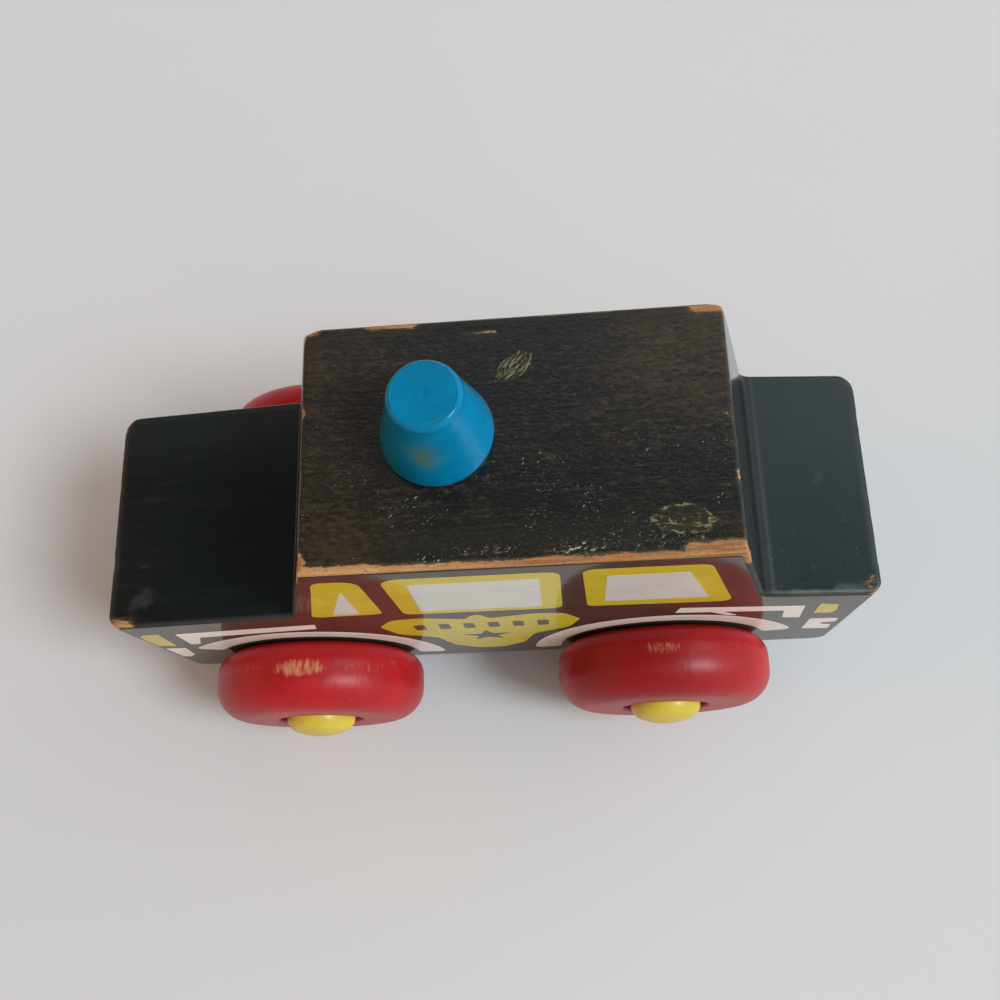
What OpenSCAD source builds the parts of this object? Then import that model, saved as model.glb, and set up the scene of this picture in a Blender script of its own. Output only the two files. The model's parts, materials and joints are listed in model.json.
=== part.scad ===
// Toy police car: one sawn and painted wooden block on four turned wheels, with a turned beacon on its roof.
// The nose points along -X, the car's left side faces -Y, and the wheels stand on the plane z = 0.

/* [Body block] */
// Length of the block from nose to tail
body_l = 127; // [110:0.5:150]
// Thickness of the block without the side prints
block_w = 37.7; // [32:0.1:45]
// Height of the roof above the belly
roof_h = 69; // [60:0.5:80]
// Height of the hood above the belly, at the foot of the windscreen
hood_h = 42.8; // [36:0.2:50]
// Fall of the hood from the windscreen to the nose
hood_drop = 2.8; // [0.5:0.1:6]
// Length of the hood
hood_l = 32.5; // [24:0.5:40]
// Height of the trunk above the belly, at the foot of the rear slope
trunk_h = 42.3; // [36:0.1:50]
// Fall of the trunk from the rear slope to the tail
trunk_drop = 2.4; // [0.5:0.1:6]
// Length of the trunk
trunk_l = 19; // [14:0.5:26]
// Distance that the windscreen leans back over its height
windscreen_lean = 7.8; // [4:0.2:12]
// Distance that the rear slope leans forward over its height
rear_lean = 6.2; // [4:0.2:12]
// Radius of the sawn corner between hood and windscreen
hood_fillet = 1.5; // [0.5:0.1:4]
// Radius of the sawn corner between rear slope and trunk
trunk_fillet = 3; // [0.5:0.1:5]
// Radius of the lower corners at nose and tail
belly_r = 4; // [2:0.2:8]
// Radius of the upright corners at nose and tail
corner_r = 1.5; // [0.5:0.1:3]
// Radius of the sanded edges
edge_r = 0.8; // [0.3:0.1:1.5]

/* [Side prints] */
// Thickness of the printed facing on each side
print_t = 0.2; // [0.1:0.05:0.5]
// Least margin of bare block round the facing
print_margin = 0.9; // [0.5:0.1:2]
// Radius of the facing's upper corners
print_corner_r = 0.8; // [0.3:0.1:2]

/* [Wheels] */
// Diameter of a wheel over its tread
wheel_d = 39.2; // [34:0.2:46]
// Thickness of a wheel
wheel_t = 12.6; // [11.5:0.1:16]
// Radius of the tread's rounded edge at the outer face
tread_r = 6; // [3:0.1:6.2]
// Radius of the tread's rounded edge at the inner face
inner_tread_r = 4.2; // [2:0.1:5]
// Diameter of the recess in the outer face
recess_d = 15.8; // [14:0.1:18]
// Depth of the recess in the outer face
recess_depth = 3; // [1.5:0.1:5]
// Distance of the front axle behind the nose
front_axle_l = 28.5; // [24:0.5:36]
// Distance of the rear axle before the tail
rear_axle_l = 33.1; // [24:0.5:40]
// Height of the axle holes above the belly
axle_rise = 7.4; // [6:0.1:11]

/* [Axle pegs] */
// Diameter of a peg's shank
shank_d = 6.2; // [5:0.1:7]
// Depth of a peg's shank in the block
shank_depth = 14; // [8:0.5:16]
// Diameter of a peg's head
head_d = 12.9; // [10:0.1:13.5]
// Length that a peg's head stands out of the wheel's face
head_proud = 3; // [1:0.1:4]
// Radius of the rounded edge of a peg's head
head_edge_r = 2; // [0.5:0.1:2.5]

/* [Beacon] */
// Distance of the beacon's axis behind the front edge of the roof
beacon_back = 19.8; // [14:0.2:40]
// Distance of the beacon's axis from the middle of the roof, towards the car's right side
beacon_side = 1; // [-3:0.1:3]
// Diameter of the beacon at its foot
beacon_foot_d = 16.4; // [13:0.1:20]
// Diameter of the beacon at its rim
beacon_rim_d = 10.4; // [9:0.1:12.5]
// Diameter of the beacon's flat top
beacon_top_d = 8.8; // [6:0.1:9]
// Height of the beacon above the roof
beacon_h = 13.8; // [10:0.1:18]
// Height of the chamfer round the beacon's top
beacon_chamfer_h = 1; // [0.3:0.1:1.5]
// Swell of the beacon's side at half its height
beacon_swell = 0.05; // [0:0.05:1]
// Diameter of the beacon's tenon
tenon_d = 8; // [5:0.1:9]
// Length of the beacon's tenon
tenon_l = 12; // [6:0.5:20]

/* [Fits] */
// Radial clearance between a wheel's bore and its peg
running_gap = 0.09; // [0.02:0.01:0.1]
// Radial room for glue round a shank or a tenon
glue_gap = 0.04; // [0.02:0.01:0.1]
// End play of a wheel against the side print and against its peg's head
end_play = 0.2; // [0.2:0.05:0.6]
// Room left at the bottom of the beacon's hole
hole_end_gap = 0.6; // [0.2:0.1:2]

/* [Hidden] */

$fn = 96;
// Length by which every cutter runs past the face that it cuts
overrun = 1;
// Straight pieces that make up one rounded corner
arc_steps = 6;
// Straight pieces that make up the beacon's swollen side
side_steps = 8;

wheel_r = wheel_d / 2;
belly_z = wheel_r - axle_rise;
nose_x = -body_l / 2;
tail_x = body_l / 2;
front_axle_x = nose_x + front_axle_l;
rear_axle_x = tail_x - rear_axle_l;
roof_front_x = nose_x + hood_l + windscreen_lean;
roof_rear_x = tail_x - trunk_l - rear_lean;
roof_z = belly_z + roof_h;
side_y = block_w / 2 + print_t;
wheel_in_y = side_y + end_play;
wheel_out_y = wheel_in_y + wheel_t;
head_in_y = wheel_out_y - recess_depth + end_play;
head_l = wheel_out_y + head_proud - head_in_y;
shank_l = head_in_y - block_w / 2 + shank_depth;
peg_hole_d = shank_d + 2 * glue_gap;
wheel_bore_d = shank_d + 2 * running_gap;

// Side outline of the block, anticlockwise from the lower corner of the nose
outline = [
    [nose_x, belly_z],
    [tail_x, belly_z],
    [tail_x, belly_z + trunk_h - trunk_drop],
    [tail_x - trunk_l, belly_z + trunk_h],
    [roof_rear_x, roof_z],
    [roof_front_x, roof_z],
    [nose_x + hood_l, belly_z + hood_h],
    [nose_x, belly_z + hood_h - hood_drop]
];
outline_radii = [belly_r, belly_r, edge_r, trunk_fillet, edge_r, edge_r, hood_fillet, edge_r];

// Margins of the facing along the outline's eight sides, so that it stays on the flat of the block;
// side 1 is the tail and side 7 the nose
print_edge = max(print_margin, edge_r);
print_end = max(print_margin, corner_r);
print_margins = [for (side = [0 : 7]) side == 1 || side == 7 ? print_end : print_edge];
print_belly_r = max(belly_r - print_end, print_corner_r);
print_radii = [
    print_belly_r,
    print_belly_r,
    print_corner_r,
    trunk_fillet + print_edge,
    print_corner_r,
    print_corner_r,
    hood_fillet + print_edge,
    print_corner_r
];

function unit(v) = v / norm(v);

// Inward normal of the side that leaves corner i of an anticlockwise path
function inward(path, i) =
    let (d = unit(path[(i + 1) % len(path)] - path[i]))
    [-d[1], d[0]];

// Path whose sides are moved inwards, each by its own margin
function inset(path, margins) = [
    for (i = [0 : len(path) - 1])
        let (
            before = (i + len(path) - 1) % len(path),
            a = inward(path, before),
            b = inward(path, i),
            ma = margins[before],
            mb = margins[i]
        )
        path[i] + [ma * b[1] - mb * a[1], mb * a[0] - ma * b[0]] / (a[0] * b[1] - a[1] * b[0])
];

// Points of the arc that rounds corner i of a path
function corner_arc(path, radii, i) =
    let (
        n = len(path),
        p = path[i],
        a = unit(path[(i + n - 1) % n] - p),
        b = unit(path[(i + 1) % n] - p),
        half = acos(a * b) / 2,
        sweep = 180 - 2 * half,
        r = radii[i],
        centre = p + unit(a + b) * r / sin(half),
        start = p + a * r / tan(half) - centre,
        end = p + b * r / tan(half) - centre
    )
    [
        for (k = [0 : arc_steps])
            let (turn = sweep * k / arc_steps)
            centre + (sin(sweep - turn) * start + sin(turn) * end) / sin(sweep)
    ];

// Path with each corner rounded to its own radius
function rounded(path, radii) = [for (i = [0 : len(path) - 1]) each corner_arc(path, radii, i)];

function box_path(x0, y0, x1, y1) = [[x0, y0], [x1, y0], [x1, y1], [x0, y1]];

// Upright slab across the car, from an outline in x and z
module side_slab(path, y_from, thickness) {
    translate([0, y_from + thickness, 0])
        rotate([90, 0, 0])
            linear_extrude(height = thickness)
                polygon(path);
}

// Round hole right across the car at both axles
module axle_holes(d, y_from, length) {
    for (x = [front_axle_x, rear_axle_x])
        translate([x, y_from - overrun, wheel_r])
            rotate([-90, 0, 0])
                cylinder(d = d, h = length + 2 * overrun);
}

// Sawn block with hood, cab and trunk in one piece, its edges sanded
module body_block() {
    plan_radii = [for (i = [0 : 3]) corner_r];
    end_radii = [for (i = [0 : 3]) edge_r];
    half_w = block_w / 2;
    color([0.09, 0.09, 0.1])
        difference() {
            intersection() {
                side_slab(rounded(outline, outline_radii), -half_w, block_w);
                translate([0, 0, belly_z - overrun])
                    linear_extrude(height = roof_h + 2 * overrun)
                        polygon(rounded(box_path(nose_x, -half_w, tail_x, half_w), plan_radii));
                translate([nose_x - overrun, 0, 0])
                    rotate([90, 0, 90])
                        linear_extrude(height = body_l + 2 * overrun)
                            polygon(rounded(box_path(-half_w, belly_z, half_w, roof_z), end_radii));
            }
            axle_holes(peg_hole_d, -half_w, block_w);
            translate([roof_front_x + beacon_back, beacon_side, roof_z - tenon_l - hole_end_gap])
                cylinder(d = tenon_d + 2 * glue_gap, h = tenon_l + hole_end_gap + overrun);
        }
}

// Printed facing glued on the -Y side of the block
module side_print() {
    y_from = -side_y;
    color([0.16, 0.13, 0.13])
        difference() {
            side_slab(rounded(inset(outline, print_margins), print_radii), y_from, print_t);
            axle_holes(peg_hole_d, y_from, print_t);
        }
}

module left_side_print() {
    side_print();
}

module right_side_print() {
    mirror([0, 1, 0])
        side_print();
}

// Half section of a wheel: radius along x, and distance from its inner face along y
module wheel_section() {
    bore_r = wheel_bore_d / 2;
    // Radius of each rounded edge, and its centre's distance from the inner face
    edges = [[inner_tread_r, inner_tread_r], [tread_r, wheel_t - tread_r]];
    difference() {
        intersection() {
            square([wheel_r, wheel_t]);
            union() {
                translate([0, inner_tread_r])
                    square([wheel_r, wheel_t - inner_tread_r - tread_r]);
                for (edge = edges)
                    translate([wheel_r - edge[0], edge[1]]) {
                        circle(r = edge[0]);
                        translate([edge[0] - wheel_r, -edge[0]])
                            square([wheel_r - edge[0], 2 * edge[0]]);
                    }
            }
        }
        translate([-overrun, -overrun])
            square([bore_r + overrun, wheel_t + 2 * overrun]);
        translate([-overrun, wheel_t - recess_depth])
            square([recess_d / 2 + overrun, recess_depth + overrun]);
    }
}

// Turned wheel on the -Y side, with a bore for its peg and a recess for the peg's head
module wheel(axle_x) {
    color([0.7, 0.08, 0.1])
        translate([axle_x, -wheel_in_y, wheel_r])
            rotate([90, 0, 0])
                rotate_extrude()
                    wheel_section();
}

module front_left_wheel() {
    wheel(front_axle_x);
}

module front_right_wheel() {
    mirror([0, 1, 0])
        wheel(front_axle_x);
}

module rear_left_wheel() {
    wheel(rear_axle_x);
}

module rear_right_wheel() {
    mirror([0, 1, 0])
        wheel(rear_axle_x);
}

// Half section of a peg: radius along x, and distance from the shank's end along y
module peg_section() {
    head_r = head_d / 2;
    square([shank_d / 2, shank_l]);
    translate([0, shank_l])
        square([head_r, head_l - head_edge_r]);
    translate([0, shank_l])
        square([head_r - head_edge_r, head_l]);
    intersection() {
        translate([head_r - head_edge_r, shank_l + head_l - head_edge_r])
            circle(r = head_edge_r);
        translate([0, shank_l])
            square([head_r, head_l]);
    }
}

// Turned peg on the -Y side, glued in the block, whose head keeps the wheel on
module peg(axle_x) {
    color([0.87, 0.75, 0.2])
        translate([axle_x, shank_l - head_in_y, wheel_r])
            rotate([90, 0, 0])
                rotate_extrude()
                    peg_section();
}

module front_left_peg() {
    peg(front_axle_x);
}

module front_right_peg() {
    mirror([0, 1, 0])
        peg(front_axle_x);
}

module rear_left_peg() {
    peg(rear_axle_x);
}

module rear_right_peg() {
    mirror([0, 1, 0])
        peg(rear_axle_x);
}

// Turned cone with swollen sides and a chamfered top, on a tenon glued in the roof
module beacon() {
    foot_r = beacon_foot_d / 2;
    rim_r = beacon_rim_d / 2;
    rim_z = beacon_h - beacon_chamfer_h;
    side = [
        for (k = [0 : side_steps])
            let (rise_share = k / side_steps)
            let (swell = beacon_swell * sin(180 * rise_share))
            [foot_r + (rim_r - foot_r) * rise_share + swell, rim_z * rise_share]
    ];
    color([0, 0.45, 0.7])
        translate([roof_front_x + beacon_back, beacon_side, roof_z])
            rotate_extrude()
                polygon([
                    [0, -tenon_l],
                    [tenon_d / 2, -tenon_l],
                    [tenon_d / 2, 0],
                    each side,
                    [beacon_top_d / 2, beacon_h],
                    [0, beacon_h]
                ]);
}

body_block();
left_side_print();
right_side_print();
front_left_wheel();
front_right_wheel();
rear_left_wheel();
rear_right_wheel();
front_left_peg();
front_right_peg();
rear_left_peg();
rear_right_peg();
beacon();
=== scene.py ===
import json
import math
from functools import reduce

import bmesh
import bpy
import numpy as np
from bpy.props import FloatProperty, FloatVectorProperty, IntProperty, PointerProperty
from mathutils import Matrix, Vector


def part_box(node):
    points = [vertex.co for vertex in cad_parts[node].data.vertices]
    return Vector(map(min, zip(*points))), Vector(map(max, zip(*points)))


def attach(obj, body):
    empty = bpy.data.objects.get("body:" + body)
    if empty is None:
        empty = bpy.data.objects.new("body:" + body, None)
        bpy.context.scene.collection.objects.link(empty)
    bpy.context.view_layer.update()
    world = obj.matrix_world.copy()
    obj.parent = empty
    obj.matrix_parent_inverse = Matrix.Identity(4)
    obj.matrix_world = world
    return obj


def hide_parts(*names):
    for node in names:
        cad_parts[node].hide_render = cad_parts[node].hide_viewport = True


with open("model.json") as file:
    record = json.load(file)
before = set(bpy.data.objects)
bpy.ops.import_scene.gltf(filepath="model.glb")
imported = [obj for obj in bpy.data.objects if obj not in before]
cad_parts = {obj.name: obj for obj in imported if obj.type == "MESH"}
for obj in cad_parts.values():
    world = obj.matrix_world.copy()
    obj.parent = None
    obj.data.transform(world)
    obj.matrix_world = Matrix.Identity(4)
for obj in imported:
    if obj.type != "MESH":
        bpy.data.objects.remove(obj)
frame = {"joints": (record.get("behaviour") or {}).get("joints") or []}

bl_info = {
    "name": "Toy police car",
    "version": (1, 0, 0),
    "blender": (4, 5, 0),
    "location": "3D View > Sidebar > Toy Car",
    "description": "Models a worn wooden toy police car on its packed frame",
    "category": "Object",
}

MM = 0.001
TURN = 2 * math.pi
SAME = 1e-6  # metres: places closer than this are the same
MERGED = 1e-7  # metres: points closer than this become one

# Places that the frame gives
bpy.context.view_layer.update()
BLOCK_LOW, BLOCK_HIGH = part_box("body_block")
FACING_Y = -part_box("left_side_print")[0].y
BEACON_LOW, BEACON_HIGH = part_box("beacon")
AXLES = {joint["child"]: Vector(joint["pos_m"]) for joint in frame["joints"]}
WHEELS = ("front_left_wheel", "front_right_wheel", "rear_left_wheel", "rear_right_wheel")
PEGS = ("front_left_peg", "front_right_peg", "rear_left_peg", "rear_right_peg")
CAR = "car"
OUTWARDS = Vector((0, -1, 0))  # along the axles on the left


# Settings that a user would change

def length(name, description, millimetres):
    return FloatProperty(name=name, description=description, default=millimetres * MM, unit="LENGTH", precision=5)


def share(name, description, default):
    return FloatProperty(name=name, description=description, default=default, min=0, max=1, subtype="FACTOR")


def angle(name, description, degrees):
    return FloatProperty(name=name, description=description, default=math.radians(degrees), unit="ROTATION")


def tint(name, description, default):
    return FloatVectorProperty(name=name, description=description, default=default, min=0, max=1, subtype="COLOR")


class TOYCAR_PG_block(bpy.types.PropertyGroup):
    hood_l: length("Hood length", "From the nose to the foot of the windscreen", 32.5)
    hood_z: length("Hood height", "Top of the hood at the windscreen, above the belly", 42.8)
    hood_drop: length("Hood drop", "How far the hood falls to the nose", 2.8)
    trunk_l: length("Trunk length", "From the tail to the foot of the rear slope", 19)
    trunk_z: length("Trunk height", "Top of the trunk at the rear slope, above the belly", 42.3)
    trunk_drop: length("Trunk drop", "How far the trunk falls to the tail", 2.4)
    windscreen_lean: length("Windscreen lean", "How far the windscreen leans back", 7.8)
    rear_lean: length("Rear lean", "How far the rear slope leans forward", 6.2)
    hood_fillet: length("Hood fillet", "Radius at the foot of the windscreen", 0.3)
    trunk_fillet: length("Trunk fillet", "Radius at the foot of the rear slope", 3)
    belly_r: length("Belly radius", "Radius under the nose and the tail", 4)
    edge_r: length("Edge radius", "Sanded rounding of the long edges", 0.8)
    crisp_r: length("Crisp edge radius", "Rounding of the edges of the hood and trunk and across the car", 0.4)
    corner_r: length("Corner radius", "Sanded rounding of the upright corners on the right", 2.7)
    near_corner_r: length("Left corner radius", "Sanded rounding of the upright corners on the left", 1.8)
    grid: length("Grid", "Spacing of the mesh that the wear is carved in", 0.95)
    rub_depth: length("Rub depth", "Depth of wood lost along the rubbed edges", 0.55)
    sand_depth: length("Sanding depth", "Depth of the uneven sanding of the faces", 0.07)
    paint: tint("Paint", "Black paint of the block", (0.0046, 0.0076, 0.0082))
    stain: tint("Thin paint", "Wood that shows through thin paint", (0.042, 0.026, 0.014))
    wood: tint("Wood", "Bare wood of the block", (0.42, 0.19, 0.058))


class TOYCAR_PG_print(bpy.types.PropertyGroup):
    edge_margin: length("Edge margin", "From the block's edges to the facing", 0.9)
    squeeze: share("Squeeze", "Length of the right print against the left one, clear of the rounder corners", 0.978)
    screen_margin: length("Windscreen margin", "From the windscreen to the facing", 0.3)
    end_margin: length("End margin", "From the nose and tail to the facing", 1.5)
    corner_r: length("Corner radius", "Rounding of the facing's corners", 0.8)
    ink_t: length("Ink thickness", "Thickness of one layer of ink", 0.03)
    arc_r: length("Arc radius", "Inner radius of the fender arcs", 18.3)
    arc_w: length("Arc width", "Width of the fender arcs at their middle", 4.2)
    black: tint("Black", "Ground of the facing", (0.064, 0.050, 0.038))
    yellow: tint("Yellow", "Window frames, lamps and badge", (0.65, 0.52, 0.032))
    white: tint("White", "Arcs, trim lines and bumpers", (0.92, 0.84, 0.75))
    pane: tint("Pane", "Window panes", (0.66, 0.67, 0.62))
    mark: tint("Mark", "Star and blocks on the badge", (0.085, 0.072, 0.052))


class TOYCAR_PG_wheel(bpy.types.PropertyGroup):
    tread_r: length("Tread radius", "Rounding of the tread at the outer face", 6)
    inner_tread_r: length("Inner tread radius", "Rounding of the tread at the inner face", 4.2)
    recess_r: length("Recess radius", "Radius of the recess round the peg's head", 7.9)
    recess_depth: length("Recess depth", "Depth of the recess", 3)
    bore_r: length("Bore radius", "Radius of the hole for the peg", 3.19)
    steps: IntProperty(name="Steps", description="Faces round a wheel", default=216, min=24, max=360)
    paint: tint("Paint", "Red paint of the wheels", (0.42, 0.0100, 0.0145))
    wood: tint("Wood", "Wood where the paint is rubbed", (0.62, 0.34, 0.15))


class TOYCAR_PG_peg(bpy.types.PropertyGroup):
    shank_r: length("Shank radius", "Radius of the shank in the block", 3.1)
    head_l: length("Head length", "Length of the head along the axle", 5.8)
    head_edge_r: length("Head edge radius", "Rounding of the head's end", 2.7)
    dome: length("Dome", "How far the head's end is domed", 0.75)
    steps: IntProperty(name="Steps", description="Faces round a peg", default=72, min=16, max=240)
    paint: tint("Paint", "Yellow paint of the pegs", (0.66, 0.49, 0.047))
    wood: tint("Wood", "Wood where the paint is rubbed", (0.55, 0.36, 0.17))


class TOYCAR_PG_beacon(bpy.types.PropertyGroup):
    foot_r: length("Foot radius", "Radius at the roof", 8.2)
    rim_r: length("Rim radius", "Radius under the rounded rim", 5.2)
    top_r: length("Top radius", "Radius of the flat top", 4.4)
    height: length("Height", "Height above the roof", 13.8)
    rim_h: length("Rim height", "Height of the rounded rim under the top", 1.1)
    lean: length("Lean", "How far the top stands off the foot, towards the tail", 0.22)
    tenon_r: length("Tenon radius", "Radius of the tenon in the roof", 4)
    steps: IntProperty(name="Steps", description="Faces round the beacon", default=144, min=24, max=360)
    paint: tint("Paint", "Blue paint of the beacon", (0.0, 0.184, 0.352))
    wood: tint("Rubbed", "Paint rubbed thin over the wood", (0.085, 0.140, 0.050))


class TOYCAR_PG_stage(bpy.types.PropertyGroup):
    focal: length("Focal length", "Focal length on a 36 mm sensor", 36.779)
    eye: FloatVectorProperty(name="Eye", description="Place of the camera", subtype="XYZ", unit="LENGTH",
                             default=(0.0156494, -0.0530506, 0.2152435))
    pitch: angle("Pitch", "Tilt of the camera below the level", 71.532)
    roll: angle("Roll", "Turn of the camera about its view", -15.798)
    yaw: angle("Yaw", "Turn of the camera about the upright", -13.370)
    key_from: FloatVectorProperty(name="Key direction", description="Where the large lamp stands",
                                  subtype="DIRECTION", default=(0.620, -0.246, 0.745))
    key_away: length("Key distance", "Distance of the large lamp", 3600)
    key_size: length("Key size", "Width of the large lamp", 1220)
    key_power: FloatProperty(name="Key power", description="Power of the large lamp", default=86, unit="POWER")
    key_tint: FloatVectorProperty(name="Key tint", description="Colour of the large lamp", subtype="COLOR",
                                  default=(0.865, 0.985, 1.045))
    room: share("Room light", "Level of the light from all round", 0.34)
    floor: tint("Floor", "Pale floor", (0.60, 0.60, 0.60))


# Modelling by hand: selections, outlines, extrusion and turning

def let_go():
    """Go to object mode with nothing selected."""
    if bpy.context.mode != "OBJECT":
        bpy.ops.object.mode_set(mode="OBJECT")
    bpy.ops.object.select_all(action="DESELECT")


def take(obj, mode="OBJECT"):
    """Select one object alone and go to a mode."""
    let_go()
    obj.select_set(True)
    bpy.context.view_layer.objects.active = obj
    if mode != "OBJECT":
        bpy.ops.object.mode_set(mode=mode)
    return obj


def pick(kind, test):
    """In edit mode, select the vertices, edges or faces that pass a test."""
    bpy.ops.mesh.select_mode(type=kind)
    bpy.ops.mesh.select_all(action="DESELECT")
    mesh = bpy.context.object.data
    bm = bmesh.from_edit_mesh(mesh)
    found = [e for e in {"VERT": bm.verts, "EDGE": bm.edges, "FACE": bm.faces}[kind] if test(e)]
    if not found:
        raise RuntimeError(f"{bpy.context.object.name}: nothing to select")
    for e in found:
        e.select_set(True)
    bm.select_flush_mode()
    bmesh.update_edit_mesh(mesh)


def pick_all():
    bpy.ops.mesh.select_all(action="SELECT")


def put_circle(name, points, fill):
    """A circle whose points are moved onto an outline, left in edit mode."""
    let_go()
    bpy.ops.mesh.primitive_circle_add(vertices=len(points), radius=MM, fill_type=fill)
    obj = bpy.context.object
    obj.name = obj.data.name = name
    bpy.ops.object.mode_set(mode="EDIT")
    bm = bmesh.from_edit_mesh(obj.data)
    bm.verts.ensure_lookup_table()
    for vert, point in zip(bm.verts, points):
        vert.co = point
    bmesh.update_edit_mesh(obj.data)
    return obj


def right_way_out():
    """Merge points that lie on each other and turn the faces outwards."""
    bpy.ops.mesh.select_mode(type="VERT")
    pick_all()
    bpy.ops.mesh.remove_doubles(threshold=MERGED)
    bpy.ops.mesh.normals_make_consistent(inside=False)


def slab(name, points, y_from, y_to):
    """A flat outline in x and z, extruded across the car."""
    obj = put_circle(name, [(x, y_from, z) for x, z in points], "NGON")
    pick_all()
    bpy.ops.mesh.extrude_region_move(TRANSFORM_OT_translate={"value": (0, y_to - y_from, 0)})
    right_way_out()
    return obj


def turned(name, profile, centre, axis, steps, closed):
    """A profile of radius and distance along an axis, spun round it."""
    out = Vector((1, 0, 0))
    points = [centre + out * r + axis * d for r, d in profile]
    obj = put_circle(name, points, "NOTHING")
    if not closed:
        ends = (points[0], points[-1])
        pick("EDGE", lambda e: all(min((v.co - p).length for p in ends) < MERGED for v in e.verts))
        bpy.ops.mesh.delete(type="EDGE")
    bpy.ops.mesh.select_mode(type="VERT")
    pick_all()
    bpy.ops.mesh.spin(steps=steps, angle=TURN, center=centre, axis=axis)
    right_way_out()
    bpy.ops.object.mode_set(mode="OBJECT")
    return obj


def rounded(corners, steps=6):
    """An outline whose corners (x, z, radius) are rounded."""
    points = []
    for i, (x, z, r) in enumerate(corners):
        p = Vector((x, z))
        if r <= 0:
            points.append(tuple(p))
            continue
        a = (Vector(corners[i - 1][:2]) - p).normalized()
        b = (Vector(corners[(i + 1) % len(corners)][:2]) - p).normalized()
        half = a.angle(b) / 2
        sweep = math.pi - 2 * half
        centre = p + (a + b).normalized() * r / math.sin(half)
        start, end = (p + side * r / math.tan(half) - centre for side in (a, b))
        for k in range(steps + 1):
            t = sweep * k / steps
            points.append(tuple(centre + (start * math.sin(sweep - t) + end * math.sin(t)) / math.sin(sweep)))
    return points


def inset(corners, margins):
    """Corners whose sides are moved inwards, each by its own margin."""
    def inward(i):
        d = (Vector(corners[(i + 1) % len(corners)]) - Vector(corners[i])).normalized()
        return Vector((-d.y, d.x))
    moved = []
    for i, corner in enumerate(corners):
        a, b = inward(i - 1), inward(i)
        ma, mb = margins[i - 1], margins[i]
        cross = a.x * b.y - a.y * b.x
        moved.append((corner[0] + (ma * b.y - mb * a.y) / cross, corner[1] + (mb * a.x - ma * b.x) / cross))
    return moved


def arc(cx, cy, r, start, end, steps):
    """Points on an arc, with its angles in degrees."""
    turns = [math.radians(start + (end - start) * k / steps) for k in range(steps + 1)]
    return [(cx + r * math.cos(t), cy + r * math.sin(t)) for t in turns]


def apply_modifier(obj, kind, **settings):
    take(obj)
    modifier = obj.modifiers.new(kind.title(), kind)
    for key, value in settings.items():
        setattr(modifier, key, value)
    bpy.ops.object.modifier_apply(modifier=modifier.name)


def join(name, pieces):
    """Several objects made one."""
    let_go()
    for piece in pieces:
        piece.select_set(True)
    bpy.context.view_layer.objects.active = pieces[0]
    bpy.ops.object.join()
    pieces[0].name = pieces[0].data.name = name
    return pieces[0]


def copy_of(obj, name):
    """A copy with a mesh of its own, left in edit mode with all of it selected."""
    other = obj.copy()
    other.data = obj.data.copy()
    other.name = other.data.name = name
    bpy.context.scene.collection.objects.link(other)
    take(other, "EDIT")
    pick_all()
    return other


def copy_across(obj, name, squeeze=1.0):
    """A copy mirrored to the car's other side, and shortened by a squeeze."""
    other = copy_of(obj, name)
    bpy.ops.transform.resize(value=(squeeze, -1, 1), center_override=(0, 0, 0))
    bpy.ops.mesh.normals_make_consistent(inside=False)
    let_go()
    return other


def copy_along(obj, name, step):
    """A copy moved by a step."""
    other = copy_of(obj, name)
    bpy.ops.transform.translate(value=step)
    let_go()
    return other


def on_axles(nodes, profile, inner_end, steps, closed):
    """A piece turned on the front left axle and copied to the other three, by node."""
    axle = AXLES["front_left_wheel"]
    first = turned("front_left", profile, Vector((axle.x, inner_end, axle.z)), OUTWARDS, steps, closed)
    rear = copy_along(first, "rear_left", (AXLES["rear_left_wheel"].x - axle.x, 0, 0))
    made = (first, copy_across(first, "front_right"), rear, copy_across(rear, "rear_right"))
    return dict(zip(nodes, made))


def finish_piece(obj, material, body, smooth, replaces=()):
    """Shade a piece smooth up to an angle in degrees, dress it and let it ride."""
    take(obj)
    bpy.ops.object.shade_smooth_by_angle(angle=math.radians(smooth))
    obj.data.materials.clear()
    obj.data.materials.append(material)
    if replaces:
        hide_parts(*replaces)
    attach(obj, body)


def points_of(obj):
    co = np.empty(len(obj.data.vertices) * 3, np.float32)
    obj.data.vertices.foreach_get("co", co)
    return co.reshape(-1, 3).astype(float)


def set_attribute(obj, name, values, domain="POINT"):
    attribute = obj.data.attributes.get(name) or obj.data.attributes.new(name, "FLOAT", domain)
    attribute.data.foreach_set("value", np.ascontiguousarray(values, np.float32))


def carve(obj, group_name, weights, depth, texture_name, grain, octaves=2, contrast=1.0):
    """Sink a piece in a cloudy pattern, by a depth times the weights of its points."""
    group = obj.vertex_groups.new(name=group_name)
    for i in np.flatnonzero(weights > 0.001):
        group.add([int(i)], float(weights[i]), "REPLACE")
    clouds = bpy.data.textures.get(texture_name) or bpy.data.textures.new(texture_name, "CLOUDS")
    clouds.noise_scale, clouds.noise_depth, clouds.contrast = grain, octaves, contrast
    apply_modifier(obj, "DISPLACE", texture=clouds, texture_coords="LOCAL", vertex_group=group_name,
                   strength=-depth, mid_level=0.0)
    obj.vertex_groups.clear()


def degrees_off(turn, middle):
    """Degrees from a middle, from -180 to 180."""
    return (turn - middle + 180) % 360 - 180


def patches(table, turn, place, gain=1):
    """The deepest of oval patches: middle and half length in degrees, middle and half width in mm, and depth."""
    deepest = np.zeros(len(turn))
    for middle, half_turn, at, half, depth in table:
        inside = 1 - np.hypot(degrees_off(turn, middle) / half_turn, (place - at) / half)
        deepest = np.maximum(deepest, depth * np.clip(gain * inside, 0, 1))
    return deepest


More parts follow.
